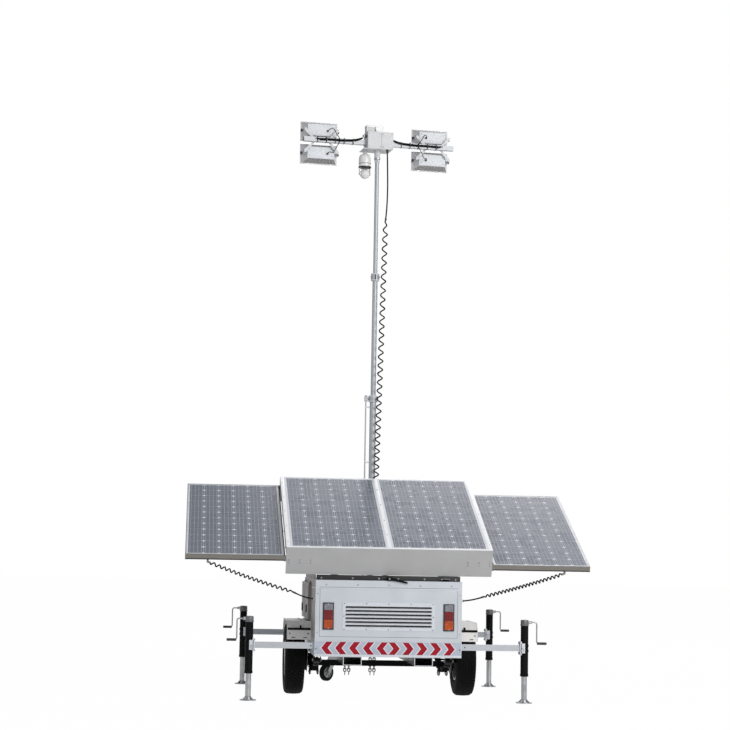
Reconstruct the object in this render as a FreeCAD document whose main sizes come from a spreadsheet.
# Solar light tower on a towed trailer, standing on its wheels, jacks and jockey wheel
# Millimetres. X to the right, Y forward along the drawbar, Z up, ground at Z = 0

import FreeCAD, Part
import math
import os
import re
import Sketcher

doc = FreeCAD.newDocument("LightTower")
sheet = doc.addObject("Spreadsheet::Sheet", "Sizes")

# Driving sizes: name, value
SIZES = [
    # whole machine
    ("overall_length", 3240),
    ("running_gap", 0.3),
    # solar tray, measured in its own plane from its rear top edge
    ("tray_tilt", 23),
    ("tray_edge_height", 1255),
    ("tray_width", 1718),
    ("tray_length", 1621),
    ("tray_depth", 236),
    ("tray_plate", 3),
    ("tray_side_depth", 75),
    ("tray_rim", 20),
    ("module_width", 808),
    ("module_margin", 20.5),
    ("module_thick", 40),
    ("module_split", 30.5),
    ("lip_thick", 3.7),
    ("lip_reach", 14),
    ("tray_beam_x", 450),
    ("tray_beam_width", 40),
    ("tray_beam_depth", 46),
    # drawers that slide out of the tray's two sides
    ("left_drawer_drop", 80.8),
    ("right_drawer_drop", 135.9),
    ("drawer_inner_x", 876),
    ("drawer_wall", 4),
    ("drawer_height", 44),
    ("drawer_end_gap", 6),
    ("runner_reach", 420),
    ("ledge_width", 14),
    ("ledge_thick", 3),
    ("ledge_inner_x", 400),
    # tray hinge and tilt actuator
    ("hinge_along", 60),
    ("hinge_depth", 256),
    ("hinge_pin_radius", 8),
    ("hinge_lug_radius", 18),
    ("hinge_lug_width", 24),
    ("hinge_plate", 8),
    ("barrel_pivot_height", 1030),
    ("clevis_radius", 18),
    ("barrel_radius", 24),
    ("barrel_length", 500),
    ("rod_radius", 11),
    ("rod_length", 560),
    ("eye_radius", 20),
    ("eye_bore", 13),
    ("eye_pin_radius", 6),
    ("eye_width", 20),
    ("rod_pin_along", 1000),
    ("rod_pin_depth", 215),
    # chassis
    ("chassis_width", 1217),
    ("chassis_bottom", 366),
    ("chassis_top", 485),
    ("rail_width", 60),
    ("cross_width", 60),
    ("band_plate", 6),
    ("fork_x", 295),
    ("fork_width", 150),
    ("fork_height", 70),
    ("fork_wall", 6),
    # outriggers and jacks
    ("outrigger_height", 452),
    ("front_outrigger_rise", 26),
    ("beam_size", 50),
    ("beam_wall", 4),
    ("beam_inner_x", 462),
    ("sleeve_wall", 6),
    ("jack_x", 1145),
    ("jack_radius", 32),
    ("jack_bore", 26),
    ("jack_bottom", 219),
    ("jack_top", 643),
    ("jack_head_radius", 36),
    ("jack_head_height", 46),
    ("leg_radius", 23.5),
    ("leg_top", 450),
    ("foot_radius", 67),
    ("foot_thick", 8),
    ("crank_radius", 6),
    ("crank_drop", 174),
    ("crank_reach", 103),
    ("grip_radius", 11),
    ("grip_length", 80),
    # running gear
    ("wheel_x", 736),
    ("tyre_radius", 304),
    ("tyre_width", 170),
    ("bead_radius", 168),
    ("spindle_radius", 20),
    ("axle_size", 48),
    ("axle_centre_height", 270),
    ("spindle_length", 188),
    ("spindle_reach", 38),
    ("hub_drum_radius", 100),
    ("hub_drum_thick", 22),
    ("hub_drum_gap", 5),
    ("spring_x", 560),
    ("spring_width", 50),
    ("leaf_thick", 8),
    ("spring_span", 400),
    ("spring_rise", 62),
    ("spring_eye_height", 311),
    # fenders
    ("fender_outer_x", 815),
    ("fender_top", 635),
    ("fender_bottom", 480),
    ("fender_corner", 66),
    ("fender_sheet", 3),
    # cabinet
    ("cabinet_wall", 20),
    ("cabinet_floor", 6),
    ("roof_split", 921),
    ("roof_top", 992),
    ("door_bottom", 645),
    ("door_top", 955),
    ("door_thick", 25),
    ("door_frame", 28),
    ("door_hinge_out", 8),
    ("door_handle_reach", 300),
    ("grille_width", 765),
    ("grille_height", 229),
    ("grille_centre_height", 697),
    ("grille_plate", 3),
    ("louvre_pitch", 30.4),
    ("louvre_width", 715),
    ("louvre_depth", 9),
    ("lamp_x", 500),
    ("tail_lamp_width", 90),
    ("tail_lamp_height", 222),
    ("tail_lamp_thick", 16),
    ("battery_width", 1000),
    ("battery_length", 1000),
    ("battery_height", 260),
    # mast
    ("base_tube_radius", 30),
    ("base_tube_bore", 25.2),
    ("base_tube_top", 2608),
    ("lower_collar_radius", 42),
    ("lower_collar_height", 56),
    ("middle_radius", 24),
    ("middle_bore", 21.2),
    ("middle_top", 3739),
    ("middle_length", 2032),
    ("upper_collar_radius", 39),
    ("upper_collar_height", 68),
    ("top_radius", 20),
    ("top_bore", 17),
    ("top_tube_top", 4939),
    ("top_length", 2045),
    ("guide_ring_height", 30),
    ("mast_foot", 220),
    ("foot_plate", 12),
    ("guide_rod_x", -67),
    ("guide_rod_radius", 6.5),
    ("guide_rod_bottom", 940),
    ("coil_shelf_height", 1450),
    # head
    ("head_yaw", 9),
    ("head_collar_radius", 27.5),
    ("head_box_left", -112),
    ("head_box_right", 132),
    ("head_box_depth", 170),
    ("bar_size", 44),
    ("bar_left", -708),
    ("bar_right", 738),
    ("cap_radius", 40),
    ("camera_x", -100),
    ("camera_y", 70),
    ("camera_radius", 58),
    # floodlights
    ("lamp_left_x", -530),
    ("lamp_right_x", 550),
    ("lamp_upper_rise", 104),
    ("lamp_lower_drop", 111),
    ("lamp_pivot_y", 112),
    ("lamp_width", 352),
    ("lamp_height", 184),
    ("lamp_flange", 12),
    ("lamp_back_width", 250),
    ("lamp_back_height", 104),
    ("lamp_back_reach", 55),
    ("lamp_front_reach", 50),
    ("yoke_half", 165),
    ("yoke_plate", 4),
    ("yoke_arm_width", 17),
    # drawbar and jockey wheel
    ("drawbar_foot_x", 250),
    ("drawbar_head_x", 60),
    ("drawbar_tube", 60),
    ("drawbar_bottom", 386),
    ("drawbar_height", 80),
    ("eye_ring_radius", 62),
    ("eye_ring_bore", 34),
    ("eye_ring_thick", 30),
    ("jockey_x", -264),
    ("jockey_yaw", 50),
    ("jockey_trail", 90),
    ("jockey_wheel_radius", 80),
    ("jockey_wheel_width", 50),
    ("jockey_post_radius", 24),
    ("jockey_post_bottom", 250),
    ("jockey_post_top", 760),
    ("jockey_stem_radius", 18),
    ("jockey_stem_length", 110),
    ("jockey_clamp_half", 30),
    ("jockey_crank_radius", 7),
    ("jockey_crank_rise", 40),
    ("jockey_crank_reach", 110),
    ("jockey_grip_radius", 11),
    ("jockey_grip_length", 70),
    ("chain_x", 122),
    ("link_wire", 8),
    ("link_length", 42),
    ("link_width", 28),
    # cords
    ("mast_cord_diameter", 11),
    ("mast_coil_diameter", 54),
    ("drawer_cord_diameter", 10),
    ("drawer_curl_diameter", 29),
    ("drawer_gland_height", 835),
]

# Places and sizes that follow from the driving ones
DERIVED = dict([
    # places along the machine
    ("chassis_rear_y", "-overall_length / 2 + 48"),
    ("outrigger_rear_y", "chassis_rear_y + 57"),
    ("drawer_gland_y", "chassis_rear_y + 72"),
    ("barrel_pivot_y", "chassis_rear_y + 352"),
    ("axle_y", "chassis_rear_y + 833"),
    ("fender_rear_y", "axle_y - 361"),
    ("fender_front_y", "axle_y + 361"),
    ("cabinet_front_y", "chassis_rear_y + 1552"),
    ("door_rear_y", "cabinet_front_y - 990"),
    ("door_front_y", "cabinet_front_y - 30"),
    ("mast_y", "cabinet_front_y + 200"),
    ("chassis_front_y", "cabinet_front_y + 480"),
    ("outrigger_front_y", "chassis_front_y - 55"),
    ("drawbar_head_y", "overall_length / 2 - 140"),
    ("jockey_y", "drawbar_head_y - 492"),
    ("chain_y", "drawbar_head_y - 330"),
    # modules and head
    ("module_length", "tray_length - 2 * module_margin"),
    ("bar_height", "top_tube_top + 100"),
    ("head_box_bottom", "bar_height - 69"),
    ("head_box_top", "bar_height + 97"),
    ("head_collar_bottom", "head_box_bottom - 86"),
])

NAMES = [name for name, value in SIZES]
for row, (name, value) in enumerate(SIZES, start=1):
    sheet.set("A%d" % row, name)
    sheet.set("B%d" % row, str(value))
    sheet.setAlias("B%d" % row, name)
doc.recompute()

WORD = re.compile(r"[A-Za-z_]\w*")


def spelled(text):
    """The expression with each derived name written out in driving sizes."""
    def written(match):
        word = match.group()
        return "(%s)" % spelled(DERIVED[word]) if word in DERIVED else word
    return WORD.sub(written, str(text))


def bound(text):
    """The expression with each size name pointing at the spreadsheet."""
    return WORD.sub(lambda m: "Sizes." + m.group() if m.group() in NAMES else m.group(), spelled(text))


def number(text):
    """The present value of an expression written with size names."""
    value = sheet.evalExpression(bound(text))
    return float(getattr(value, "Value", value))


def tie(piece, **settings):
    """Binds properties to expressions; Base_x stands for Placement.Base.x."""
    for key, text in settings.items():
        path = "Placement.Base." + key[-1] if key.startswith("Base_") else key
        piece.setExpression(path, bound(text))
    return piece


def turn(piece, axis, angle):
    """Turns a piece about an axis through its own origin by an angle expression."""
    base = piece.Placement.Base
    piece.Placement = FreeCAD.Placement(base, FreeCAD.Rotation(FreeCAD.Vector(*axis), 1))
    piece.setExpression("Placement.Rotation.Angle", bound(angle))
    return piece


def shift(piece, x="0", y="0", z="0"):
    return tie(piece, Base_x=x, Base_y=y, Base_z=z)


counter = [0]


def fresh(kind):
    counter[0] += 1
    return "%s_%d" % (kind, counter[0])


def box(x, y, z):
    """A block between pairs of expressions."""
    piece = doc.addObject("Part::Box", fresh("block"))
    tie(piece, Length="(%s) - (%s)" % (x[1], x[0]), Width="(%s) - (%s)" % (y[1], y[0]),
        Height="(%s) - (%s)" % (z[1], z[0]))
    return shift(piece, x[0], y[0], z[0])


AXES = {"X": ((0, 1, 0), 90), "Y": ((1, 0, 0), -90), "Z": ((0, 0, 1), 0)}


def rod(radius, length, at, axis="Z"):
    """A round bar that starts at a point and runs along an axis."""
    piece = doc.addObject("Part::Cylinder", fresh("rod"))
    direction, angle = AXES[axis]
    piece.Placement = FreeCAD.Placement(FreeCAD.Vector(), FreeCAD.Rotation(FreeCAD.Vector(*direction), angle))
    tie(piece, Radius=radius, Height=length)
    return shift(piece, *at)


def cone(radius, end_radius, length, at, axis="Z"):
    piece = doc.addObject("Part::Cone", fresh("cone"))
    direction, angle = AXES[axis]
    piece.Placement = FreeCAD.Placement(FreeCAD.Vector(), FreeCAD.Rotation(FreeCAD.Vector(*direction), angle))
    tie(piece, Radius1=radius, Radius2=end_radius, Height=length)
    return shift(piece, *at)


def join(*pieces):
    piece = doc.addObject("Part::MultiFuse", fresh("joined"))
    piece.Shapes = list(pieces)
    return piece


def less(base, *tools):
    """The base with every tool cut away."""
    piece = doc.addObject("Part::Cut", fresh("cut"))
    piece.Base = base
    piece.Tool = tools[0] if len(tools) == 1 else join(*tools)
    return piece


def group(*pieces):
    """Separate solids that share one node."""
    piece = doc.addObject("Part::Compound", fresh("group"))
    piece.Links = list(pieces)
    return piece


def origin_plane(body, role):
    return [feature for feature in body.Origin.OriginFeatures if feature.Role == role][0]


def outline(body, role, loops, offset=None):
    """A sketch of straight-sided loops whose corners are bound to the sheet."""
    sketch = body.newObject("Sketcher::SketchObject", fresh("outline"))
    sketch.AttachmentSupport = [(origin_plane(body, role), "")]
    sketch.MapMode = "FlatFace"
    if offset:
        sketch.setExpression("AttachmentOffset.Base.z", bound(offset))
    for corners in loops:
        first = sketch.GeometryCount
        places = [FreeCAD.Vector(number(across), number(up), 0) for across, up in corners]
        count = len(places)
        for i in range(count):
            sketch.addGeometry(Part.LineSegment(places[i], places[(i + 1) % count]), False)
        for i in range(count):
            sketch.addConstraint(Sketcher.Constraint("Coincident", first + i, 2, first + (i + 1) % count, 1))
        for i, (across, up) in enumerate(corners):
            for kind, text, value in (("DistanceX", across, places[i].x), ("DistanceY", up, places[i].y)):
                place = sketch.addConstraint(Sketcher.Constraint(kind, -1, 1, first + i, 1, value))
                sketch.setExpression("Constraints[%d]" % place, bound(text))
    return sketch


def padded(role, loops, length, offset=None):
    """A body made from one outline pushed out along its plane's normal."""
    body = doc.addObject("PartDesign::Body", fresh("plate"))
    sketch = outline(body, role, loops, offset)
    pad = body.newObject("PartDesign::Pad", fresh("pad"))
    pad.Profile = sketch
    pad.setExpression("Length", bound(length))
    return body


def turned(loop, axis="V_Axis"):
    """A body made by spinning an outline in the XZ plane about its upright or level axis."""
    body = doc.addObject("PartDesign::Body", fresh("turned"))
    sketch = outline(body, "XZ_Plane", [loop])
    spin = body.newObject("PartDesign::Revolution", fresh("spin"))
    spin.Profile = sketch
    spin.ReferenceAxis = (sketch, [axis])
    spin.Angle = 360
    return body


def lofted(role, sections):
    """A body through outlines that lie at given offsets along the plane's normal."""
    body = doc.addObject("PartDesign::Body", fresh("lofted"))
    sketches = [outline(body, role, [corners], offset) for corners, offset in sections]
    loft = body.newObject("PartDesign::AdditiveLoft", fresh("loft"))
    loft.Profile = sketches[0]
    loft.Sections = sketches[1:]
    loft.Ruled = True
    return body


def rectangle(half_across, half_up, across="0", up="0"):
    """Corners of a rectangle about a centre."""
    return [("%s - (%s)" % (across, half_across), "%s - (%s)" % (up, half_up)),
            ("%s + (%s)" % (across, half_across), "%s - (%s)" % (up, half_up)),
            ("%s + (%s)" % (across, half_across), "%s + (%s)" % (up, half_up)),
            ("%s - (%s)" % (across, half_across), "%s + (%s)" % (up, half_up))]


def span(side, near, far):
    """An X range between two distances from the middle, on the left (-1) or right (1)."""
    return (near, far) if side > 0 else ("-(%s)" % far, "-(%s)" % near)


def signed(side, text):
    return "(%s)" % text if side > 0 else "-(%s)" % text


NODES = {}


def node(name, piece):
    """Keeps a finished sub-part under its plain name."""
    piece.Label = name
    NODES[name] = piece
    return piece


SIDES = (("left", -1), ("right", 1))
# Outrigger rows: name, place along the machine, height of the beam's middle
ROWS = (("rear", "outrigger_rear_y", "outrigger_height"),
        ("front", "outrigger_front_y", "(outrigger_height + front_outrigger_rise)"))

REAR_Y = "(-overall_length / 2)"
HALF_WIDTH = "(chassis_width / 2)"


def tray_place(along, depth):
    """Y and Z of a point of the tray, given along its slope and down from its top plane."""
    return ("(-overall_length / 2 + (%s) * cos(tray_tilt) + (%s) * sin(tray_tilt))" % (along, depth),
            "(tray_edge_height + (%s) * sin(tray_tilt) - (%s) * cos(tray_tilt))" % (along, depth))


HINGE_Y, HINGE_Z = tray_place("hinge_along", "hinge_depth")
ROD_PIN_Y, ROD_PIN_Z = tray_place("rod_pin_along", "rod_pin_depth")


# Chassis: two rails, cross members, outrigger sleeves and the rear marker band

def chassis():
    upright = ("chassis_bottom", "chassis_top")
    rails = [box(span(side, HALF_WIDTH + " - rail_width", HALF_WIDTH), ("chassis_rear_y", "chassis_front_y"), upright)
             for word, side in SIDES]
    inner = ("-" + HALF_WIDTH + " + 1", HALF_WIDTH + " - 1")
    lengths = ("-" + HALF_WIDTH, HALF_WIDTH)
    sleeve_half = "(beam_size / 2 + sleeve_wall + 1)"
    cross_rows = ("chassis_rear_y", "axle_y - cross_width / 2", "mast_y - mast_foot / 2",
                  "chassis_front_y - cross_width")
    crosses = [box(inner, (row, row + " + cross_width"), upright) for row in cross_rows]
    band = box(lengths, ("chassis_rear_y", "chassis_rear_y + band_plate"), ("chassis_bottom", "chassis_top + 7"))
    sleeves = []
    bores = []
    for name, row, centre in ROWS:
        level = ("%s - %s" % (centre, sleeve_half), "%s + %s" % (centre, sleeve_half))
        sleeves.append(box(lengths, (row + " - " + sleeve_half, row + " + " + sleeve_half), level))
        bore = "(beam_size / 2 + running_gap)"
        bores.append(box(("-" + HALF_WIDTH + " - 5", HALF_WIDTH + " + 5"), (row + " - " + bore, row + " + " + bore),
                         ("%s - %s" % (centre, bore), "%s + %s" % (centre, bore))))
    # Fork pockets hang under the rails, open at both ends
    pockets = []
    voids = []
    for word, side in SIDES:
        near, far = "fork_x - fork_width / 2", "fork_x + fork_width / 2"
        run = ("chassis_rear_y + 2", "chassis_front_y - 300")
        pockets.append(box(span(side, near, far), run, ("chassis_bottom - fork_height", "chassis_bottom")))
        voids.append(box(span(side, near + " + fork_wall", far + " - fork_wall"),
                         (run[0] + " - 5", run[1] + " + 5"),
                         ("chassis_bottom - fork_height + fork_wall", "chassis_bottom - fork_wall / 2")))
    hangers = []
    for word, side in SIDES:
        for end in ("axle_y - spring_span", "axle_y + spring_span"):
            hangers.append(box(span(side, "spring_x - spring_width / 2 - 8", "spring_x - spring_width / 2 - running_gap"),
                               (end + " - 22", end + " + 22"), ("spring_eye_height - 18", "chassis_bottom + 20")))
            hangers.append(box(span(side, "spring_x + spring_width / 2 + running_gap", "spring_x + spring_width / 2 + 8"),
                               (end + " - 22", end + " + 22"), ("spring_eye_height - 18", "chassis_bottom + 20")))
            # Bridge over the spring's eye, joined to the rail
            hangers.append(box(span(side, "spring_x - spring_width / 2 - 8", "spring_x + spring_width / 2 + 8"),
                               (end + " - 22", end + " + 22"), ("chassis_bottom", "chassis_bottom + 20")))
    whole = join(*(rails + crosses + [band] + sleeves + pockets + hangers))
    return node("chassis_frame", less(whole, *(bores + voids)))


# Running gear: axle, leaf springs, tyres and rims

def axle_beam():
    half = "(axle_size / 2)"
    inner_face = "(wheel_x - tyre_width / 2 - hub_drum_gap)"
    beam_end = "(%s - hub_drum_thick + 2)" % inner_face
    beam = box(("-" + beam_end, beam_end),
               ("axle_y - " + half, "axle_y + " + half),
               ("axle_centre_height - " + half, "axle_centre_height + " + half))
    spindles = [rod("spindle_radius", "spindle_length", (start, "axle_y", "tyre_radius"), "X")
                for start in ("-wheel_x - spindle_reach", "wheel_x + spindle_reach - spindle_length")]
    drums = [rod("hub_drum_radius", "hub_drum_thick", (start, "axle_y", "tyre_radius"), "X")
             for start in ("-" + inner_face, inner_face + " - hub_drum_thick")]
    return node("axle_beam", join(beam, *(spindles + drums)))


def curved_leaf(side, half_length, top):
    """One spring leaf: a strip bent to the pack's arc."""
    y, thick = number("axle_y"), number("leaf_thick")
    width, x = number("spring_width"), number("spring_x") * side
    rise = number("spring_rise") * (half_length / number("spring_span")) ** 2

    def arc(level):
        ends = [FreeCAD.Vector(0, y - half_length, level + rise), FreeCAD.Vector(0, y, level),
                FreeCAD.Vector(0, y + half_length, level + rise)]
        return Part.Arc(*ends).toShape()

    upper, lower = arc(top), arc(top - thick)
    sides = [Part.LineSegment(upper.Vertexes[k].Point, lower.Vertexes[k].Point).toShape() for k in (0, 1)]
    face = Part.Face(Part.Wire(Part.__sortEdges__([upper, lower] + sides)))
    piece = doc.addObject("Part::Feature", fresh("leaf"))
    piece.Shape = face.extrude(FreeCAD.Vector(width, 0, 0))
    piece.Placement = FreeCAD.Placement(FreeCAD.Vector(x - width / 2, 0, 0), FreeCAD.Rotation())
    return piece


LEAVES = (1.0, 0.8, 0.58, 0.36)


def leaf_springs():
    pieces = []
    under_axle = number("axle_centre_height - axle_size / 2 - running_gap")
    thick = number("leaf_thick")
    pack = "(%d * leaf_thick)" % len(LEAVES)
    low = "axle_centre_height - axle_size / 2 - running_gap - " + pack
    for word, side in SIDES:
        packed = []
        for i, share in enumerate(LEAVES):
            packed.append(curved_leaf(side, number("spring_span") * share, under_axle - i * thick + 0.2 * i))
        across = span(side, "spring_x - spring_width / 2 - 16", "spring_x + spring_width / 2 + 16")
        packed.append(box(across, ("axle_y - 46", "axle_y + 46"), (low + " - 12", low + " + 1")))
        for edge in ("spring_x - spring_width / 2 - 9", "spring_x + spring_width / 2 + 9"):
            for reach in (-36, 36):
                packed.append(rod("6", "axle_size + 98", (signed(side, edge), "axle_y + %d" % reach, low + " - 44")))
        for end in ("axle_y - spring_span", "axle_y + spring_span"):
            packed.append(rod("14", "spring_width", (span(side, "spring_x - spring_width / 2",
                                                          "spring_x + spring_width / 2")[0],
                                                     end, "spring_eye_height + 6"), "X"))
        pieces.append(join(*packed))
    return node("leaf_springs", group(*pieces))


def wheel(word, side):
    """Tyre and rim are spun about their own axle and then set on the spindle."""
    half = "tyre_width / 2"
    # Across the wheel and out from its centre: bead, wall, shoulder, tread
    tyre_edge = [(half + " - 24", "bead_radius"), (half + " - 8", "bead_radius + 22"), (half, "bead_radius + 66"),
                 (half + " - 3", "tyre_radius - 36"), (half + " - 12", "tyre_radius - 14"),
                 (half + " - 27", "tyre_radius - 3"), ("20", "tyre_radius")]
    loop = tyre_edge + [("-(%s)" % across, out) for across, out in reversed(tyre_edge)]
    tyre = turned([(out, across) for across, out in loop])
    well = [(half + " - 24", "bead_radius - running_gap"), (half + " - 17", "bead_radius + 2"),
            (half + " - 13", "bead_radius + 2"), (half + " - 13", "bead_radius - 8"),
            (half + " - 34", "bead_radius - 12")]
    disc = [("24", "bead_radius - 22"), ("30", "60"), ("40", "46"), ("40", "spindle_radius + 0.3"),
            ("22", "spindle_radius + 0.3"), ("22", "60"), ("10", "bead_radius - 30"),
            ("-30", "bead_radius - 22")]
    rest = [("-(%s) + 34" % half, "bead_radius - 12"), ("-(%s) + 13" % half, "bead_radius - 8"),
            ("-(%s) + 13" % half, "bead_radius + 2"), ("-(%s) + 17" % half, "bead_radius + 2"),
            ("-(%s) + 24" % half, "bead_radius - running_gap")]
    rim = turned([(out, across) for across, out in well + disc + rest])
    for name, piece in (("tyre_" + word, tyre), ("rim_" + word, rim)):
        turn(piece, (0, side, 0), "90")
        shift(piece, signed(side, "wheel_x"), "axle_y", "tyre_radius")
        node(name, piece)


def fenders():
    pieces = []
    t = "fender_sheet"
    bend = "fender_sheet * 0.414"
    outer = [("fender_rear_y", "fender_bottom"), ("fender_rear_y", "fender_top - fender_corner"),
             ("fender_rear_y + fender_corner", "fender_top"), ("fender_front_y - fender_corner", "fender_top"),
             ("fender_front_y", "fender_top - fender_corner"), ("fender_front_y", "fender_bottom")]
    inner = [("fender_front_y - " + t, "fender_bottom"),
             ("fender_front_y - " + t, "fender_top - fender_corner - " + bend),
             ("fender_front_y - fender_corner - " + bend, "fender_top - " + t),
             ("fender_rear_y + fender_corner + " + bend, "fender_top - " + t),
             ("fender_rear_y + " + t, "fender_top - fender_corner - " + bend),
             ("fender_rear_y + " + t, "fender_bottom")]
    for word, side in SIDES:
        near, far = span(side, HALF_WIDTH + " + running_gap", "fender_outer_x")
        pieces.append(padded("YZ_Plane", [outer + inner], "(%s) - (%s)" % (far, near), near))
    return node("fenders", group(*pieces))


# Cabinet: open shell, lid, doors, grille, lamps and the battery inside

def cabinet_shell():
    length = ("chassis_rear_y", "cabinet_front_y")
    level = ("chassis_top + 7 + running_gap", "roof_split")
    block = box(("-" + HALF_WIDTH, HALF_WIDTH), length, level)
    room = box(("-" + HALF_WIDTH + " + cabinet_wall", HALF_WIDTH + " - cabinet_wall"),
               (length[0] + " + cabinet_wall", length[1] + " - cabinet_wall"),
               (level[0] + " + cabinet_floor", "roof_split + 10"))
    doorway = box(("-" + HALF_WIDTH + " - 10", HALF_WIDTH + " + 10"),
                  ("door_rear_y + door_frame", "door_front_y - door_frame"),
                  ("door_bottom + door_frame", "roof_split + 10"))
    vent = box(("-louvre_width / 2", "louvre_width / 2"), (length[0] + " - 10", length[0] + " + cabinet_wall + 10"),
               ("grille_centre_height - 2.9 * louvre_pitch", "grille_centre_height + 2.9 * louvre_pitch"))
    glands = [cone("11", "8", "16", (signed(side, HALF_WIDTH + " - 1"), "drawer_gland_y", "drawer_gland_height"), "X")
              if side > 0 else
              cone("8", "11", "16", ("-" + HALF_WIDTH + " - 15", "drawer_gland_y", "drawer_gland_height"), "X")
              for word, side in SIDES]
    return node("cabinet_shell", join(less(block, room, doorway, vent), *glands))


def hinge_places():
    return ["door_rear_y + 160", "door_front_y - 160"]


def cabinet_roof():
    block = box(("-" + HALF_WIDTH, HALF_WIDTH), ("chassis_rear_y", "cabinet_front_y"),
                ("roof_split + running_gap", "roof_top"))
    room = box(("-" + HALF_WIDTH + " + cabinet_wall", HALF_WIDTH + " - cabinet_wall"),
               ("chassis_rear_y + cabinet_wall", "cabinet_front_y - cabinet_wall"),
               ("roof_split - 10", "roof_top - cabinet_wall"))
    parts = []
    # Door hinge halves: a leaf and a pin that reaches into the door's knuckles
    axis_x, axis_z = HALF_WIDTH + " + door_hinge_out", "door_top + door_hinge_out"
    for word, side in SIDES:
        for place in hinge_places():
            parts.append(box(span(side, HALF_WIDTH + " - 1", HALF_WIDTH + " + door_hinge_out"),
                             (place + " - 25", place + " + 25"), (axis_z + " - 3", axis_z + " + 3")))
            parts.append(rod("6", "50", (signed(side, axis_x), place + " - 25", axis_z), "Y"))
            parts.append(rod("2.5", "110", (signed(side, axis_x), place + " - 55", axis_z), "Y"))
    # Stands that carry the tray's hinge pins
    for word, side in SIDES:
        for near in ("tray_beam_x - hinge_lug_width / 2 - 1 - hinge_plate", "tray_beam_x + hinge_lug_width / 2 + 1"):
            across = span(side, near, near + " + hinge_plate")
            parts.append(box(across, (HINGE_Y + " - hinge_lug_radius", HINGE_Y + " + hinge_lug_radius"),
                             ("roof_top - 1", HINGE_Z)))
            parts.append(rod("hinge_lug_radius", "hinge_plate", (across[0], HINGE_Y, HINGE_Z), "X"))
        ends = span(side, "tray_beam_x - hinge_lug_width / 2 - hinge_plate - 6",
                    "tray_beam_x + hinge_lug_width / 2 + hinge_plate + 6")
        parts.append(rod("hinge_pin_radius", "(%s) - (%s)" % (ends[1], ends[0]), (ends[0], HINGE_Y, HINGE_Z), "X"))
    # Clevis for the actuator's barrel
    for side in (-1, 1):
        across = span(side, "eye_width / 2 + 1", "eye_width / 2 + 7")
        parts.append(box(across, ("barrel_pivot_y - clevis_radius", "barrel_pivot_y + clevis_radius"),
                         ("roof_top - 1", "barrel_pivot_height")))
        parts.append(rod("clevis_radius", "6", (across[0], "barrel_pivot_y", "barrel_pivot_height"), "X"))
    parts.append(rod("7", "eye_width + 14", ("-eye_width / 2 - 7", "barrel_pivot_y", "barrel_pivot_height"), "X"))
    return node("cabinet_roof", join(less(block, room), *parts))


def cabinet_door(word, side):
    inner, outer = HALF_WIDTH + " + running_gap + 0.4", HALF_WIDTH + " + running_gap + 0.4 + door_thick"
    slab = box(span(side, inner, outer), ("door_rear_y", "door_front_y"), ("door_bottom", "door_top"))
    parts = [slab]
    axis_x, axis_z = HALF_WIDTH + " + door_hinge_out", "door_top + door_hinge_out"
    for place in hinge_places():
        for start in (place + " - 55", place + " + 26"):
            parts.append(rod("6", "29", (signed(side, axis_x), start, axis_z), "Y"))
            parts.append(box(span(side, axis_x + " - 3", axis_x + " + 5"), (start, start + " + 29"),
                             ("door_top - 1", axis_z)))
    # Two upright pull handles near the lower edge
    middle = "(door_rear_y + door_front_y) / 2"
    for place in (middle + " - door_handle_reach", middle + " + door_handle_reach"):
        parts.append(box(span(side, outer + " - 1", outer + " + 12"), (place + " - 10", place + " + 10"),
                         ("door_bottom + 55", "door_bottom + 121")))
    holes = [rod("2.8", "31", (signed(side, axis_x), start, axis_z), "Y")
             for place in hinge_places() for start in (place + " - 56", place + " + 25")]
    return node("cabinet_door_" + word, less(join(*parts), *holes))


def louvre_grille():
    """A screwed-on plate with six hooded slots."""
    face = "chassis_rear_y - running_gap"
    half_w, half_h = "grille_width / 2", "grille_height / 2"
    plate = box(("-" + half_w, half_w), (face + " - grille_plate", face),
                ("grille_centre_height - " + half_h, "grille_centre_height + " + half_h))
    slots = []
    hoods = []
    for i in range(6):
        level = "grille_centre_height + (%.1f) * louvre_pitch" % (i - 2.5)
        slots.append(box(("-louvre_width / 2", "louvre_width / 2"), (face + " - grille_plate - 5", face + " + 5"),
                         (level + " - 8", level + " + 5")))
        # Each hood leans out from the slot's upper edge
        top = level + " + 5"
        out = face + " - grille_plate"
        section = [(face, top + " + 2"), (out, top + " + 2"), (out + " - louvre_depth", top + " - 10"),
                   (out + " - louvre_depth + 2", top + " - 11"), (face, top + " - 0.6")]
        hoods.append(padded("YZ_Plane", [section], "louvre_width", "-louvre_width / 2"))
    return node("louvre_grille", join(less(plate, *slots), *hoods))


def tail_lamps():
    pieces = []
    front = "chassis_rear_y - running_gap"
    for word, side in SIDES:
        across = span(side, "lamp_x - tail_lamp_width / 2", "lamp_x + tail_lamp_width / 2")
        low = "grille_centre_height - tail_lamp_height / 2"
        body = box(across, (front + " - tail_lamp_thick + 6", front), (low, low + " + tail_lamp_height"))
        inset = (across[0] + " + 7", across[1] + " - 7")
        lenses = [box(inset, (front + " - tail_lamp_thick", front + " - 4"),
                      (low + " + tail_lamp_height * %.2f + 5" % a, low + " + tail_lamp_height * %.2f - 3" % b))
                  for a, b in ((0, 0.36), (0.36, 0.74), (0.74, 0.99))]
        pieces.append(join(body, *lenses))
    return node("tail_lamps", group(*pieces))


def battery_block():
    floor = "chassis_top + 7 + running_gap + cabinet_floor"
    middle = "(chassis_rear_y + cabinet_front_y) / 2"
    return node("battery_block", box(("-battery_width / 2", "battery_width / 2"),
                                     (middle + " - battery_length / 2", middle + " + battery_length / 2"),
                                     (floor + " + running_gap", floor + " + running_gap + battery_height")))


# Solar tray: drawn flat from its rear top edge and then tilted

def on_tray(piece):
    turn(piece, (1, 0, 0), "tray_tilt")
    return shift(piece, "0", REAR_Y, "tray_edge_height")


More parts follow.
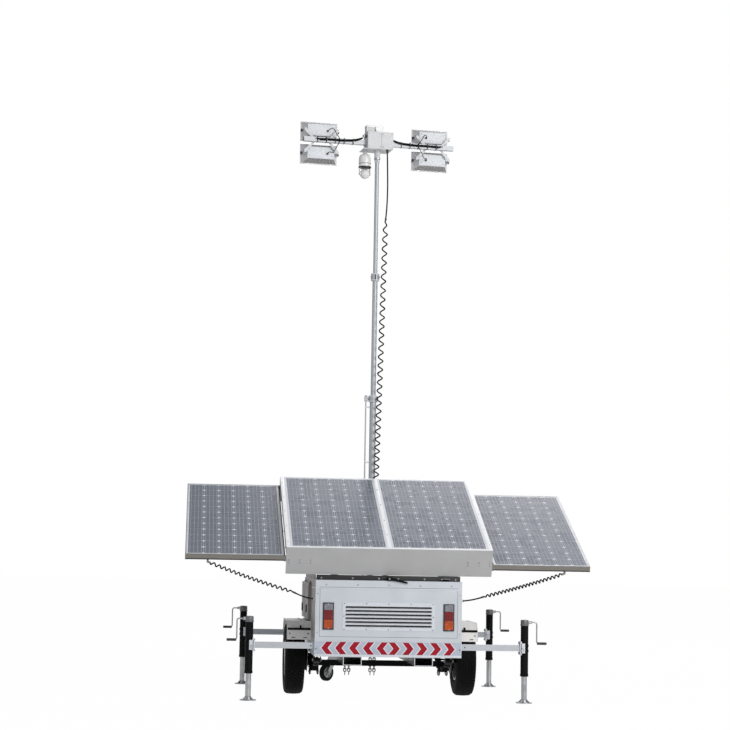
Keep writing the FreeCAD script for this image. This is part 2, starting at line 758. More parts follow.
def depths(top, bottom):
    return ("-(%s)" % bottom, "-(%s)" % top)


def tray_frame():
    half = "tray_width / 2"
    module_edge = "module_split / 2 + module_width + running_gap"
    ends = (("0", "tray_plate", "tray_rim"), ("tray_length - tray_plate", "tray_length", "tray_length - tray_rim"))
    parts = []
    for low, high, rim in ends:
        parts.append(box(("-" + half, half), (low, high), depths("0", "tray_depth")))
    parts.append(box(("-" + half, half), ("0", "tray_rim"), depths("0", "module_thick")))
    parts.append(box(("-" + half, half), ("tray_length - tray_rim", "tray_length"), depths("0", "module_thick")))
    # Lips under the modules at both ends, then side members and the middle member
    lip = depths("module_thick + running_gap", "module_thick + running_gap + lip_thick")
    parts.append(box(("-" + half, half), ("1", "tray_rim + lip_reach"), lip))
    parts.append(box(("-" + half, half), ("tray_length - tray_rim - lip_reach", "tray_length - 1"), lip))
    for word, side in SIDES:
        parts.append(box(span(side, module_edge, half), ("1", "tray_length - 1"), depths("0", "tray_side_depth")))
        parts.append(box(span(side, module_edge + " - lip_reach", half), ("1", "tray_length - 1"), lip))
        parts.append(box(span(side, "tray_beam_x - tray_beam_width / 2", "tray_beam_x + tray_beam_width / 2"),
                         ("1", "tray_length - 1"), depths("tray_depth - tray_beam_depth", "tray_depth")))
    middle = "module_split / 2 - running_gap"
    parts.append(box(("-(%s)" % middle, middle), ("1", "tray_length - 1"), depths("0", "tray_side_depth")))
    parts.append(box(("-(%s) - lip_reach" % middle, middle + " + lip_reach"), ("1", "tray_length - 1"), lip))
    # Ledges above and below each drawer's runner bars
    for side, drop in ((-1, "left_drawer_drop"), (1, "right_drawer_drop")):
        across = ("-(%s)" % half, "ledge_inner_x") if side < 0 else ("-ledge_inner_x", half)
        for level in (depths(drop + " - running_gap - ledge_thick", drop + " - running_gap"),
                      depths(drop + " + drawer_height + running_gap", drop + " + drawer_height + running_gap + ledge_thick")):
            parts.append(box(across, ("1", "ledge_width"), level))
            parts.append(box(across, ("tray_length - ledge_width", "tray_length - 1"), level))
    # Cross member with the actuator's pin
    deep = depths("tray_depth - tray_beam_depth", "tray_depth")
    parts.append(box(("-tray_beam_x", "tray_beam_x"), ("rod_pin_along + 42", "rod_pin_along + 92"), deep))
    for side in (-1, 1):
        across = span(side, "eye_width / 2 + 6", "eye_width / 2 + 12")
        parts.append(box(across, ("rod_pin_along - 16", "rod_pin_along + 43"),
                         depths("rod_pin_depth - 16", "rod_pin_depth + 16")))
    parts.append(rod("eye_pin_radius", "eye_width + 26", ("-eye_width / 2 - 13", "rod_pin_along", "-rod_pin_depth"), "X"))
    # Hinge lugs under the two long members
    holes = []
    for word, side in SIDES:
        across = span(side, "tray_beam_x - hinge_lug_width / 2", "tray_beam_x + hinge_lug_width / 2")
        parts.append(rod("hinge_lug_radius", "hinge_lug_width", (across[0], "hinge_along", "-hinge_depth"), "X"))
        parts.append(box(across, ("hinge_along - hinge_lug_radius", "hinge_along + hinge_lug_radius"),
                         ("-hinge_depth", "-tray_depth + 2")))
        holes.append(rod("hinge_pin_radius + running_gap", "hinge_lug_width + 20",
                         (across[0] + " - 10", "hinge_along", "-hinge_depth"), "X"))
    return node("tray_frame", on_tray(less(join(*parts), *holes)))


def module_pair():
    near = "module_split / 2"
    slabs = [box(span(side, near, near + " + module_width"),
                 ("(tray_length - module_length) / 2", "(tray_length + module_length) / 2"),
                 depths("0", "module_thick")) for word, side in SIDES]
    return node("tray_modules", on_tray(group(*slabs)))


def tray_latch():
    """The black locking lever on the lid's rear edge, under the middle of the tray."""
    lever = [("-16", "4"), ("-16", "26"), ("12", "28"), ("90", "8"), ("150", "-8"), ("154", "-22"),
             ("92", "-10"), ("12", "4")]
    arm = padded("XZ_Plane", [[(across, "roof_top + (%s)" % up) for across, up in lever]], "10",
                 "-(chassis_rear_y) + 4")
    pivot = rod("9", "20", ("0", "chassis_rear_y - 14", "roof_top + 16"), "Y")
    stand = box(("-22", "22"), ("chassis_rear_y + 1", "chassis_rear_y + 30"),
                ("roof_top + running_gap", "roof_top + 30"))
    return node("tray_latch", join(arm, pivot, stand))


def from_base(y, z, points):
    """Points of a cord, given from a base Y and Z."""
    base_y, base_z = number(y), number(z)
    return [(across, base_y + along, base_z + up) for across, along, up in points]


# Each drawer's curly cord, from the tray's rear top edge: the bend, then the end in the drawer's socket
CURLS = {"left": from_base(REAR_Y, "tray_edge_height", [(-1133, 85, -274), (-1477, 78, -139)]),
         "right": from_base(REAR_Y, "tray_edge_height", [(1126, 94, -311), (1452, 100, -189)])}


def drawer(word, side, drop):
    inner, outer = "drawer_inner_x - drawer_wall", "drawer_inner_x + module_width + drawer_wall"
    run = ("drawer_end_gap", "tray_length - drawer_end_gap")
    module_run = ("(tray_length - module_length) / 2 - running_gap", "(tray_length + module_length) / 2 + running_gap")
    whole = box(span(side, inner, outer), run, depths("0", "drawer_height"))
    seat = box(span(side, "drawer_inner_x - running_gap", "drawer_inner_x + module_width + running_gap"),
               module_run, ("-drawer_height + lip_thick - running_gap", "10"))
    below = box(span(side, "drawer_inner_x + lip_reach", "drawer_inner_x + module_width - lip_reach"),
                (module_run[0] + " + lip_reach", module_run[1] + " - lip_reach"), ("-drawer_height - 10", "10"))
    bars = [box(span(side, "drawer_inner_x - runner_reach", "drawer_inner_x"), ends, depths("0", "drawer_height"))
            for ends in ((run[0], module_run[0]), (module_run[1], run[1]))]
    frame = join(less(whole, seat, below), *bars)
    turn(frame, (1, 0, 0), "tray_tilt")
    place = tray_place("0", drop)
    shift(frame, "0", place[0], place[1])
    # Cord socket under the rear bar, in line with the cord's last run
    bend, end = [FreeCAD.Vector(*point) for point in CURLS[word]]
    along = (end - bend).normalize()
    socket = doc.addObject("Part::Cylinder", fresh("socket"))
    tie(socket, Radius="9", Height="34")
    socket.Placement = FreeCAD.Placement(end + along * 0.3, FreeCAD.Rotation(FreeCAD.Vector(0, 0, 1), along))
    top = end + along * 26
    under = tray_place("ledge_width + 11", drop + " + drawer_height")
    strap = box(("%.1f" % (top.x - 8), "%.1f" % (top.x + 8)), (under[0] + " - 5", under[0] + " + 5"),
                ("%.1f" % top.z, under[1] + " + 1.5"))
    node("drawer_frame_" + word, join(frame, socket, strap))
    slab = box(span(side, "drawer_inner_x", "drawer_inner_x + module_width"),
               ("(tray_length - module_length) / 2", "(tray_length + module_length) / 2"), depths("0", "module_thick"))
    turn(slab, (1, 0, 0), "tray_tilt")
    node("drawer_module_" + word, shift(slab, slab_start(side), *tray_slab_place(drop)))


def slab_start(side):
    return "drawer_inner_x" if side > 0 else "-(drawer_inner_x + module_width)"


def tray_slab_place(drop):
    """Where a module's lower rear corner lies on a drawer's plane."""
    return tray_place("(tray_length - module_length) / 2", drop + " + module_thick")


def actuator():
    """The barrel and rod are drawn along Y from the barrel's pivot and turned to the rod's pin."""
    rise, run = ROD_PIN_Z + " - barrel_pivot_height", ROD_PIN_Y + " - barrel_pivot_y"
    angle = "atan((%s) / (%s))" % (rise, run)
    reach = "sqrt((%s)^2 + (%s)^2)" % (rise, run)
    body = rod("barrel_radius", "barrel_length", ("0", "clevis_radius + 3", "0"), "Y")
    neck = box(("-eye_width / 2", "eye_width / 2"), ("0", "clevis_radius + 6"), ("-14", "14"))
    bore = rod("rod_radius + running_gap", "barrel_length", ("0", "60", "0"), "Y")
    knuckle = rod("clevis_radius", "eye_width", ("-eye_width / 2", "0", "0"), "X")
    pin_hole = rod("7 + running_gap", "eye_width + 10", ("-eye_width / 2 - 5", "0", "0"), "X")
    motor = rod("22", "120", ("0", "34", "40"), "Y")
    gearbox = box(("-22", "22"), ("clevis_radius + 3", "52"), ("0", "40"))
    barrel = less(join(body, neck, knuckle, motor, gearbox), bore, pin_hole)
    stem = rod("rod_radius", "rod_length", ("0", reach + " - rod_length", "0"), "Y")
    eye = rod("eye_radius", "eye_width", ("-eye_width / 2", reach, "0"), "X")
    hole = rod("eye_bore", "eye_width + 10", ("-eye_width / 2 - 5", reach, "0"), "X")
    piston = less(join(stem, eye), hole)
    for name, piece in (("actuator_barrel", barrel), ("actuator_rod", piston)):
        turn(piece, (1, 0, 0), angle)
        node(name, shift(piece, "0", "barrel_pivot_y", "barrel_pivot_height"))


# Mast: a fixed base tube and two sliding tubes

def mast_base():
    foot = ("mast_y - mast_foot / 2", "mast_y + mast_foot / 2")
    bottom = "chassis_top + running_gap"
    plate = box(("-mast_foot / 2", "mast_foot / 2"), foot, (bottom, bottom + " + foot_plate"))
    beam_half = "(mast_foot / 2 - 10)"
    post = rod("base_tube_radius", "base_tube_top - (%s)" % bottom, ("0", "mast_y", bottom))
    ribs = [padded("XZ_Plane", [[("28", bottom + " + 6"), (beam_half, bottom + " + 6"), ("28", bottom + " + 180")]],
                   "8", "-(mast_y) - 4"),
            padded("XZ_Plane", [[("-28", bottom + " + 6"), ("-28", bottom + " + 180"), ("-" + beam_half, bottom + " + 6")]],
                   "8", "-(mast_y) - 4")]
    collar = rod("lower_collar_radius", "lower_collar_height", ("0", "mast_y", "base_tube_top"))
    ear = box(("guide_rod_x - 16", "-20"), ("mast_y - 14", "mast_y + 14"),
              ("base_tube_top + 6", "base_tube_top + lower_collar_height - 6"))
    guide = rod("guide_rod_radius", "base_tube_top - guide_rod_bottom + 20", ("guide_rod_x", "mast_y", "guide_rod_bottom"))
    step = box(("guide_rod_x - 12", "-20"), ("mast_y - 12", "mast_y + 12"), ("guide_rod_bottom - 8", "guide_rod_bottom + 8"))
    # Clamp that ties the tube to the cabinet's front wall
    clamp = join(rod("base_tube_radius + 12", "60", ("0", "mast_y", "roof_split - 100")),
                 box(("-40", "40"), ("cabinet_front_y + running_gap", "mast_y"), ("roof_split - 95", "roof_split - 45")),
                 box(("-90", "90"), ("cabinet_front_y + running_gap", "cabinet_front_y + 10"),
                     ("roof_split - 120", "roof_split - 20")))
    # Round shelf that holds the lower end of the curly cord
    shelf = join(rod("mast_coil_diameter / 2 + 3", "10", (COIL[-1][0], COIL[-1][1], "coil_shelf_height - 11")),
                 box(("0", "24"), (COIL[-1][1], "mast_y"), ("coil_shelf_height - 11", "coil_shelf_height - 3")))
    solid = join(plate, post, collar, ear, guide, step, clamp, shelf, *ribs)
    bore = rod("base_tube_bore", "base_tube_top - (%s) - 30" % bottom, ("0", "mast_y", bottom + " + 30"))
    throat = rod("middle_radius + running_gap", "lower_collar_height + 60", ("0", "mast_y", "base_tube_top - 30"))
    return node("mast_base", less(solid, bore, throat))


def mast_stage(name, top, length, radius, bore, guide_radius, collar=None):
    """A sliding tube with a guide ring at its foot."""
    bottom = "(%s) - (%s)" % (top, length)
    parts = [rod(radius, length, ("0", "mast_y", bottom)),
             rod(guide_radius, "guide_ring_height", ("0", "mast_y", bottom))]
    voids = [rod(bore, "(%s) - 20" % length, ("0", "mast_y", "(%s) - 10" % bottom))]
    if collar:
        parts.append(rod(collar[0], collar[1], ("0", "mast_y", top)))
        voids.append(rod(collar[2], "(%s) + 60" % collar[1], ("0", "mast_y", "(%s) - 40" % top)))
    return node(name, less(join(*parts), *voids))


# Head: box, crossbar, camera and four floodlights, turned together about the mast

def on_head(piece, x="0", y="0", z="0"):
    turn(piece, (0, 0, 1), "head_yaw")
    return shift(piece, "(%s) * cos(head_yaw) - (%s) * sin(head_yaw)" % (x, y),
                 "mast_y + (%s) * sin(head_yaw) + (%s) * cos(head_yaw)" % (x, y), z)


HEAD_GLAND = (78.5, -73)


def head_box():
    half = "head_box_depth / 2"
    case = box(("head_box_left", "head_box_right"), ("-" + half, half), ("head_box_bottom + 6", "head_box_top"))
    plate = box(("head_box_left - 34", "head_box_right - 6"), ("-%s + 8" % half, "%s + 26" % half),
                ("head_box_bottom", "head_box_bottom + 7"))
    hub = rod("head_collar_radius", "head_box_bottom - head_collar_bottom + 1", ("0", "0", "head_collar_bottom"))
    socket = rod("top_radius + running_gap", "top_tube_top - head_collar_bottom + running_gap + 5",
                 ("0", "0", "head_collar_bottom - 5"))
    fitting = box(("head_box_left - 4", "head_box_left + 75"), ("-40", "30"), ("head_box_top - 1", "head_box_top + 66"))
    cap = rod("cap_radius", "56", ("head_box_left + 124", "-28", "head_box_top + cap_radius - 2"), "Y")
    neck = box(("head_box_left + 100", "head_box_left + 148"), ("-24", "24"), ("head_box_top - 1", "head_box_top + 24"))
    gland = cone("8", "12", "25", ("%s" % HEAD_GLAND[0], "%s" % HEAD_GLAND[1], "head_box_bottom - 24"))
    side_gland = cone("13", "9", "34", ("head_box_left + 1", "-30", "head_box_top - 40"), "X")
    side_gland.setExpression("Placement.Base.x", bound("head_box_left - 33"))
    slot_half = "bar_size / 2 + running_gap"
    passage = box(("head_box_left - 60", "head_box_right + 60"), ("-(%s)" % slot_half, slot_half),
                  ("bar_height - (%s)" % slot_half, "bar_height + " + slot_half))
    solid = join(less(case, passage), plate, hub, fitting, cap, neck, gland, side_gland)
    return node("head_box", on_head(less(solid, socket)))


LAMPS = (("upper_left", "lamp_left_x", "bar_height + lamp_upper_rise", 1),
         ("lower_left", "lamp_left_x", "bar_height - lamp_lower_drop", -1),
         ("upper_right", "lamp_right_x", "bar_height + lamp_upper_rise", 1),
         ("lower_right", "lamp_right_x", "bar_height - lamp_lower_drop", -1))


def crossbar():
    """Square bar with a spread bracket for each floodlight."""
    half = "bar_size / 2"
    bar = less(box(("bar_left", "bar_right"), ("-" + half, half), ("bar_height - " + half, "bar_height + " + half)),
               box(("bar_left - 5", "bar_right + 5"), ("-%s + 3" % half, half + " - 3"),
                   ("bar_height - %s + 3" % half, "bar_height + %s - 3" % half)))
    parts = [bar]
    for word, x, z, up in LAMPS:
        foot = "bar_height - %d" % (up * 20)
        ear = "%s - %d" % (z, up * 14)
        for side in (-1, 1):
            arm = [(x + " + %d" % (side * 34), foot), ("%s + %d * (34 + yoke_arm_width)" % (x, side), foot),
                   ("%s + %d * (yoke_half)" % (x, side), ear), ("%s + %d * (yoke_half)" % (x, side), z + " + %d" % (up * 8)),
                   ("%s + %d * (yoke_half - yoke_arm_width)" % (x, side), z + " + %d" % (up * 8))]
            parts.append(padded("XZ_Plane", [arm], "yoke_plate", "-(%s) - yoke_plate + 0.5" % half))
            # Ear that reaches forward to the pivot
            outer = sorted(((x + " + %d * (yoke_half - yoke_plate)" % side, "a"), (x + " + %d * yoke_half" % side, "b")),
                           key=lambda pair: number(pair[0]))
            parts.append(box((outer[0][0], outer[1][0]), (half + " - 0.5", "lamp_pivot_y + 14"), (z + " - 12", z + " + 12")))
        parts.append(box((x + " - 54", x + " + 54"), (half + " - 1", half + " + yoke_plate - 0.5"),
                         ("bar_height - 20", "bar_height + 20")))
    return node("crossbar", on_head(join(*parts)))


def security_camera():
    """Dome camera that hangs below the head plate."""
    hood = rod("camera_radius", "90", ("camera_x", "camera_y", "head_box_bottom - 144"))
    top = cone("camera_radius", "camera_radius - 22", "28", ("camera_x", "camera_y", "head_box_bottom - 54.3"))
    neck = rod("20", "28", ("camera_x", "camera_y", "head_box_bottom - 28 - running_gap"))
    ring = rod("camera_radius + 3", "14", ("camera_x", "camera_y", "head_box_bottom - 158"))
    fork = [box(("camera_x + %d" % a, "camera_x + %d" % b), ("camera_y - 16", "camera_y + 16"),
                ("head_box_bottom - 222", "head_box_bottom - 156")) for a, b in ((-54, -46), (46, 54))]
    ball = doc.addObject("Part::Sphere", fresh("ball"))
    tie(ball, Radius="47")
    shift(ball, "camera_x", "camera_y", "head_box_bottom - 212")
    return node("security_camera", on_head(join(hood, top, neck, ring, ball, *fork)))


def floodlight(word, x, z):
    """Tapered housing behind a square-edged front frame, drawn about its own pivot."""
    taper = lofted("XZ_Plane", [(rectangle("lamp_back_width / 2", "lamp_back_height / 2"), "lamp_back_reach"),
                                (rectangle("lamp_width / 2 - 8", "lamp_height / 2 - 8"),
                                 "-(lamp_front_reach) + lamp_flange")])
    flange = box(("-lamp_width / 2", "lamp_width / 2"), ("lamp_front_reach - lamp_flange", "lamp_front_reach"),
                 ("-lamp_height / 2", "lamp_height / 2"))
    glass = box(("-lamp_width / 2 + 16", "lamp_width / 2 - 16"), ("lamp_front_reach - 3", "lamp_front_reach + 5"),
                ("-lamp_height / 2 + 16", "lamp_height / 2 - 16"))
    reach = "yoke_half - yoke_plate - running_gap"
    pins = [rod("9", "60", (start, "0", "0"), "X") for start in ("-(%s)" % reach, reach + " - 60")]
    piece = join(less(join(taper, flange), glass), *pins)
    return node("floodlight_" + word, on_head(piece, x, "lamp_pivot_y", z))


# Outriggers: four sliding beams with screw jacks

def outrigger(row, y, middle, word, side):
    name = row + "_" + word
    half = "beam_size / 2"
    end = "jack_x - jack_radius - 10"
    rise = "(%s - outrigger_height)" % middle
    beam = box(span(side, "beam_inner_x", end), (y + " - " + half, y + " + " + half),
               (middle + " - " + half, middle + " + " + half))
    inside = box(span(side, "beam_inner_x - 5", end + " - 8"), (y + " - %s + beam_wall" % half, y + " + %s - beam_wall" % half),
                 (middle + " - %s + beam_wall" % half, middle + " + %s - beam_wall" % half))
    node("outrigger_beam_" + name, less(beam, inside))
    x = signed(side, "jack_x")
    bottom, top = "jack_bottom + " + rise, "jack_top + " + rise
    barrel = less(rod("jack_radius", "jack_top - jack_bottom", (x, y, bottom)),
                  rod("jack_bore", "jack_top - jack_bottom - 20", (x, y, bottom + " + 12")),
                  rod("leg_radius + running_gap", "30", (x, y, bottom + " - 5")))
    plate = box(span(side, end + " + running_gap", end + " + 14"), (y + " - 38", y + " + 38"),
                (middle + " - 56", middle + " + 56"))
    cheeks = [box(span(side, end + " + 5", "jack_x"), (y + " + (%d)" % a, y + " + (%d)" % b),
                  (middle + " - 40", middle + " + 40")) for a, b in ((-38, -30), (30, 38))]
    head = rod("jack_head_radius", "jack_head_height", (x, y, top + " - 1"))
    crank_z = top + " + jack_head_height / 2"
    shaft = rod("crank_radius", "crank_reach", (span(side, "jack_x", "jack_x + crank_reach")[0], y, crank_z), "X")
    tip = signed(side, "jack_x + crank_reach")
    drop = rod("crank_radius", "crank_drop", (tip, y, crank_z + " - crank_drop"))
    grip_start = span(side, "jack_x + crank_reach - 4", "jack_x + crank_reach + grip_length")[0]
    grip = rod("grip_radius", "grip_length + 4", (grip_start, y, crank_z + " - crank_drop"), "X")
    node("jack_tube_" + name, join(barrel, plate, head, shaft, drop, grip, *cheeks))
    leg = rod("leg_radius", "leg_top + %s - foot_thick + 1" % rise, (x, y, "foot_thick - 1"))
    ring = rod("jack_bore - running_gap", "26", (x, y, "leg_top + %s - 26" % rise))
    foot = rod("foot_radius", "foot_thick", (x, y, "0"))
    boss = cone("34", "leg_radius", "22", (x, y, "foot_thick - 1"))
    node("jack_leg_" + name, join(leg, ring, foot, boss))


# Drawbar, towing eye, jockey wheel and safety chains

def drawbar():
    start = "chassis_front_y + running_gap"
    outer_foot, inner_foot = "drawbar_foot_x + drawbar_tube / 2", "drawbar_foot_x - drawbar_tube / 2"
    outer = [("-(%s)" % outer_foot, start), (outer_foot, start), ("drawbar_head_x", "drawbar_head_y"),
             ("-drawbar_head_x", "drawbar_head_y")]
    inner = [("-(%s)" % inner_foot, start + " + 60"), (inner_foot, start + " + 60"),
             ("12", "drawbar_head_y - 90"), ("-12", "drawbar_head_y - 90")]
    frame = padded("XY_Plane", [outer, inner], "drawbar_height", "drawbar_bottom")
    hooks = [box(("%s - 5" % signed(side, "chain_x"), "%s + 5" % signed(side, "chain_x")),
                 ("chain_y - 5", "chain_y + 5"), ("drawbar_bottom - 16", "drawbar_bottom + 2"))
             for side in (-1, 1)]
    return node("drawbar", join(frame, *hooks))


def towing_eye():
    middle = "drawbar_bottom + drawbar_height / 2"
    centre_y = "overall_length / 2 - eye_ring_radius"
    low = middle + " - eye_ring_thick / 2"
    ring = rod("eye_ring_radius", "eye_ring_thick", ("0", centre_y, low))
    shank = box(("-24", "24"), ("drawbar_head_y + running_gap", centre_y), (low, low + " + eye_ring_thick"))
    plate = box(("-drawbar_head_x - 4", "drawbar_head_x + 4"), ("drawbar_head_y + running_gap", "drawbar_head_y + 14"),
                ("drawbar_bottom - 2", "drawbar_bottom + drawbar_height + 2"))
    bore = rod("eye_ring_bore", "eye_ring_thick + 10", ("0", centre_y, low + " - 5"))
    return node("towing_eye", less(join(ring, shank, plate), bore))


def jockey():
    post = less(rod("jockey_post_radius", "jockey_post_top - jockey_post_bottom",
                    ("jockey_x", "jockey_y", "jockey_post_bottom")),
                rod("jockey_stem_radius + running_gap", "jockey_stem_length + 10",
                    ("jockey_x", "jockey_y", "jockey_post_bottom - 5")))
    # The clamp reaches to the drawbar's slanted side
    slant = "(drawbar_foot_x + drawbar_tube / 2 - drawbar_head_x) / (drawbar_head_y - chassis_front_y)"
    edge = "drawbar_foot_x + drawbar_tube / 2 - (jockey_y - jockey_clamp_half - chassis_front_y) * %s + 0.6" % slant
    arm = box(("jockey_x - 10", "-(%s)" % edge), ("jockey_y - jockey_clamp_half", "jockey_y + jockey_clamp_half"),
              ("drawbar_bottom + 5", "drawbar_bottom + drawbar_height - 5"))
    ring = rod("jockey_post_radius + 9", "drawbar_height - 10", ("jockey_x", "jockey_y", "drawbar_bottom + 5"))
    void = rod("jockey_post_radius - 1", "jockey_post_top - jockey_post_bottom",
               ("jockey_x", "jockey_y", "jockey_post_bottom"))
    level = "jockey_post_top + jockey_crank_rise - 2"
    crank = join(rod("jockey_crank_radius", "jockey_crank_rise", ("jockey_x", "jockey_y", "jockey_post_top - 2")),
                 rod("jockey_crank_radius", "jockey_crank_reach", ("jockey_x", "jockey_y", level), "Y"),
                 rod("jockey_grip_radius", "jockey_grip_length",
                     ("jockey_x", "jockey_y + jockey_crank_reach - 6", level)))
    node("jockey_clamp", join(post, less(join(arm, ring), void), crank))
    axle_z = "jockey_wheel_radius"
    crown = "jockey_post_bottom - 2"
    side_plate = [("22", crown), ("-22", crown), ("-jockey_trail - 15", axle_z + " + 4"), ("-jockey_trail - 8", axle_z + " - 14"),
                  ("-jockey_trail + 12", axle_z + " - 12"), ("22", crown + " - 40")]
    near = "jockey_wheel_width / 2 + 5"
    plates = [padded("YZ_Plane", [side_plate], "5", start) for start in (near, "-(%s) - 5" % near)]
    bridge = box(("-(%s) - 5" % near, near + " + 5"), ("-22", "22"), (crown + " - 10", crown))
    stem = rod("jockey_stem_radius", "jockey_stem_length", ("0", "0", crown + " - 2"))
    pin = rod("6", "2 * (%s) + 10" % near, ("-(%s) - 5" % near, "-jockey_trail", axle_z), "X")
    fork = join(bridge, stem, pin, *plates)
    turn(fork, (0, 0, 1), "-jockey_yaw")
    node("jockey_fork", shift(fork, "jockey_x", "jockey_y", "0"))
    half = "jockey_wheel_width / 2"
    # Across the wheel and out from its centre
    edge = [("25", "6.3"), ("25", "18"), ("14", "22"), ("14", "44"), (half + " - 3", "50"), (half, "62"),
            (half + " - 6", "jockey_wheel_radius - 5"), ("10", "jockey_wheel_radius")]
    loop = edge + [("-(%s)" % across, out) for across, out in reversed(edge)]
    roller = turned([(out, across) for across, out in loop])
    hub_axis = FreeCAD.Vector(math.cos(math.radians(number("-jockey_yaw"))), math.sin(math.radians(number("-jockey_yaw"))), 0)
    roller.Placement = FreeCAD.Placement(FreeCAD.Vector(), FreeCAD.Rotation(FreeCAD.Vector(0, 0, 1), hub_axis))
    node("jockey_wheel", shift(roller, "jockey_x - jockey_trail * sin(jockey_yaw)",
                               "jockey_y - jockey_trail * cos(jockey_yaw)", axle_z))


LINKS = 11


def safety_chains():
    """Two short chains of flat-sided links that end in a hook."""
    length, width, wire = number("link_length"), number("link_width"), number("link_wire")
    pitch = length - 2 * wire - 0.4
    straight = (length - width) / 2

    def stadium(radius, thick):
        bar = Part.makeBox(2 * radius, thick, 2 * straight, FreeCAD.Vector(-radius, -thick / 2, -straight))
        ends = [Part.makeCylinder(radius, thick, FreeCAD.Vector(0, -thick / 2, z), FreeCAD.Vector(0, 1, 0))
                for z in (-straight, straight)]
        return bar.fuse(ends)

    link = stadium(width / 2, wire).cut(stadium(width / 2 - wire, wire + 2))
    hook = Part.makeCylinder(20, 9, FreeCAD.Vector(0, -4.5, 0), FreeCAD.Vector(0, 1, 0))
    hook = hook.cut(Part.makeCylinder(11, 20, FreeCAD.Vector(0, -10, 0), FreeCAD.Vector(0, 1, 0)))
    hook = hook.cut(Part.makeBox(24, 20, 8, FreeCAD.Vector(4, -10, 4)))
    pieces = []
    for side in (-1, 1):
        top = number("drawbar_bottom - 16 - running_gap") - length / 2
        solids = []
        for i in range(LINKS):
            copy = link.copy()
            copy.Placement = FreeCAD.Placement(FreeCAD.Vector(0, 0, top - i * pitch),
                                               FreeCAD.Rotation(FreeCAD.Vector(0, 0, 1), 90 * (i % 2)))
            solids.append(copy)
        low = hook.copy()
        low.Placement = FreeCAD.Placement(FreeCAD.Vector(0, 0, top - (LINKS - 1) * pitch - length / 2 - 12),
                                          FreeCAD.Rotation(FreeCAD.Vector(0, 0, 1), 90 * (LINKS % 2)))
        solids.append(low)
        chain = doc.addObject("Part::Feature", fresh("chain"))
        chain.Shape = solids[0].multiFuse(solids[1:])
        chain.Placement = FreeCAD.Placement(FreeCAD.Vector(side * number("chain_x"), number("chain_y"), 0),
                                            FreeCAD.Rotation())
        pieces.append(chain)
    return node("safety_chains", group(*pieces))


# Cords: routes chosen by hand, from the fixed end to the moving end

LEAD = from_base("mast_y", "head_box_bottom", [(89, -62, -24.5), (93, -64, -180), (97, -67, -330), (95, -69, -470),
                                               (90, -70, -585), (82, -70, -671)])
COIL_RISE = (LEAD[-1][2] - number("coil_shelf_height")) / 2849
COIL = LEAD[-1:] + from_base("mast_y", "coil_shelf_height", [(67, -69, 2050 * COIL_RISE), (50, -70, 1188 * COIL_RISE),
                                                             (33, -69, 456 * COIL_RISE), (24, -70, 0)])
GLAND_X = number(HALF_WIDTH + " + 15.8")
LEAD_RUNS = {"left": [(0, 0, 0), (80.7, -5, 8), (165.7, -18, 53)], "right": [(0, 0, 0), (80.7, -4, 5), (172.7, -16, 37)]}
DRAWER_LEADS = {word: from_base("drawer_gland_y", "drawer_gland_height",
                                [(side * (GLAND_X + out), along, up) for out, along, up in LEAD_RUNS[word]])
                for word, side in SIDES}
DRAWER_CURLS = {word: DRAWER_LEADS[word][-1:] + CURLS[word] for word, side in SIDES}


def route(points, radius_share=0.45):
    """Straight runs joined by arcs that are as large as the runs allow."""
    places = [FreeCAD.Vector(*point) for point in points]
    edges = []
    radii = []
    start = places[0]
    for before, corner, after in zip(places, places[1:], places[2:]):
        incoming, outgoing = (corner - before), (after - corner)
        half_turn = incoming.getAngle(outgoing) / 2
        setback = radius_share * min(incoming.Length, outgoing.Length)
        radii.append(setback / math.tan(half_turn))
        into, away = incoming.normalize(), outgoing.normalize()
        first, last = corner - into * setback, corner + away * setback
        inward = (away - into).normalize()
        depth = radii[-1] / math.cos(half_turn) - radii[-1]
        edges.append(Part.LineSegment(start, first).toShape())
        edges.append(Part.Arc(first, corner + inward * depth, last).toShape())
        start = last
    edges.append(Part.LineSegment(start, places[-1]).toShape())
    return Part.Wire(edges), radii


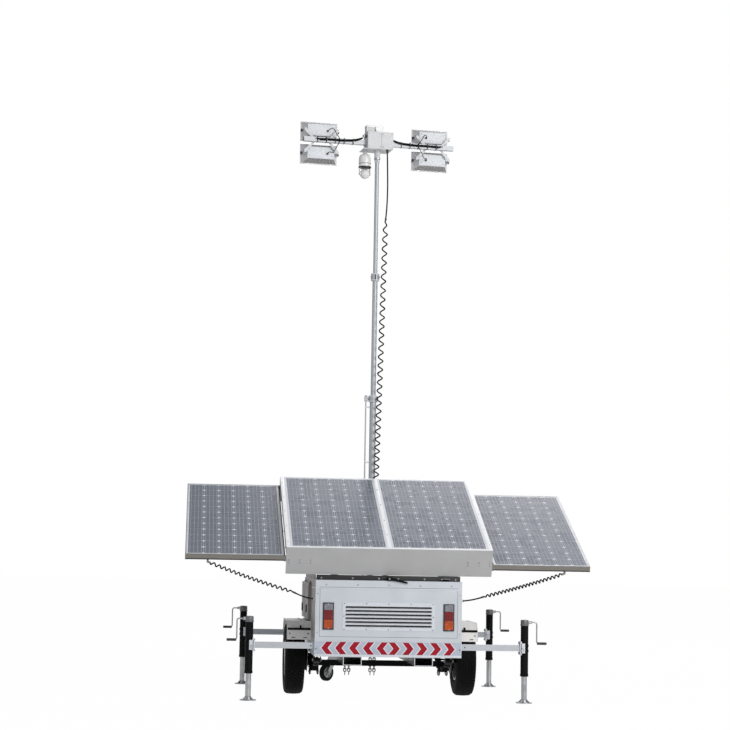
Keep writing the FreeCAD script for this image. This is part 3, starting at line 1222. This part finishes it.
def cord(name, points, diameter, short=0):
    """A round solid along a cord's route, with its end kept short of the next cord."""
    last_run = FreeCAD.Vector(*points[-1]) - FreeCAD.Vector(*points[-2])
    points = points[:-1] + [FreeCAD.Vector(*points[-1]) - last_run.normalize() * short]
    path, radii = route(points)
    ahead = FreeCAD.Vector(*points[1]) - FreeCAD.Vector(*points[0])
    section = Part.Wire(Part.makeCircle(number(diameter) / 2, FreeCAD.Vector(*points[0]), ahead))
    solid = path.makePipeShell([section], True, False)
    expected = math.pi * (number(diameter) / 2) ** 2 * path.Length
    print("%s length %.0f radii %s volume ratio %.4f" % (name, path.Length, [round(r) for r in radii],
                                                         solid.Volume / expected))
    piece = doc.addObject("Part::Feature", fresh("cord"))
    piece.Shape = solid
    piece.Placement = FreeCAD.Placement()
    return node(name, piece)


def cords():
    cord("mast_cord_lead", LEAD, "mast_cord_diameter", 0.8)
    cord("mast_cord_coil", COIL, "mast_coil_diameter")
    for word, side in SIDES:
        cord("drawer_lead_" + word, DRAWER_LEADS[word], "drawer_cord_diameter", 1.6)
        cord("drawer_curl_" + word, DRAWER_CURLS[word], "drawer_curl_diameter")


def build():
    chassis()
    axle_beam()
    leaf_springs()
    fenders()
    cabinet_shell()
    cabinet_roof()
    louvre_grille()
    tail_lamps()
    battery_block()
    tray_frame()
    module_pair()
    tray_latch()
    actuator()
    mast_base()
    mast_stage("mast_middle", "middle_top", "middle_length", "middle_radius", "middle_bore",
               "base_tube_bore - running_gap", ("upper_collar_radius", "upper_collar_height", "top_radius + running_gap"))
    mast_stage("mast_top", "top_tube_top", "top_length", "top_radius", "top_bore", "middle_bore - running_gap")
    head_box()
    crossbar()
    security_camera()
    drawbar()
    towing_eye()
    jockey()
    safety_chains()
    cords()
    for word, side in SIDES:
        wheel(word, side)
        cabinet_door(word, side)
        drawer(word, side, word + "_drawer_drop")
        for row, y, centre in ROWS:
            outrigger(row, y, centre, word, side)
    for word, x, z, up in LAMPS:
        floodlight(word, x, z)


def write_out():
    """Checks every object, then writes one STEP file for each node."""
    doc.recompute()
    faults = [piece.Label for piece in doc.Objects if "Invalid" in piece.State or "Error" in piece.State]
    for name, piece in NODES.items():
        if piece.Shape.isNull() or not piece.Shape.isValid() or not piece.Shape.Solids:
            faults.append(name)
    if faults:
        raise RuntimeError("failed pieces: " + ", ".join(faults))
    os.makedirs("parts", exist_ok=True)
    for name, piece in NODES.items():
        piece.Shape.exportStep("parts/%s.step" % name)
    print(len(NODES), "nodes written")


build()
write_out()
